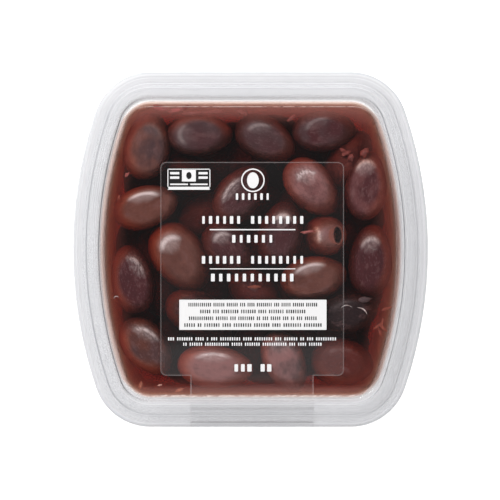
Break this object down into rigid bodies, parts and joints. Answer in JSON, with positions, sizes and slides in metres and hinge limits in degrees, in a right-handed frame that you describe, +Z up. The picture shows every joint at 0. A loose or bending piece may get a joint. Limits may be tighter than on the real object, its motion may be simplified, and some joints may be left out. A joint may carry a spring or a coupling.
{
  "type": "shut clear plastic tub of pitted kalamata olives in brine",
  "caption": "Nearly square clear tub with bowed sides and a press-on lid with a sunken panel and clear label, filled to the lid with olives in brine.",
  "frame": {"origin": "middle of the tub's flat base", "axes": "+Z up, -Y towards the side where the label's tab folds over the rim"},
  "size_m": [0.12, 0.1205, 0.0465],
  "materials": {
    "tub_plastic": "milky clear polypropylene, satin",
    "lid_plastic": "milky clear polypropylene rim with a clear panel",
    "olive_skin": "wet, smooth olive skin from mauve to red-brown",
    "label_film": "clear glossy film printed with plain white and black blocks"
  },
  "bodies": {
    "root": {"tub": "tub_plastic", "lid": "lid_plastic", "olives": "olive_skin", "label": "label_film"}
  },
  "joints": []
}
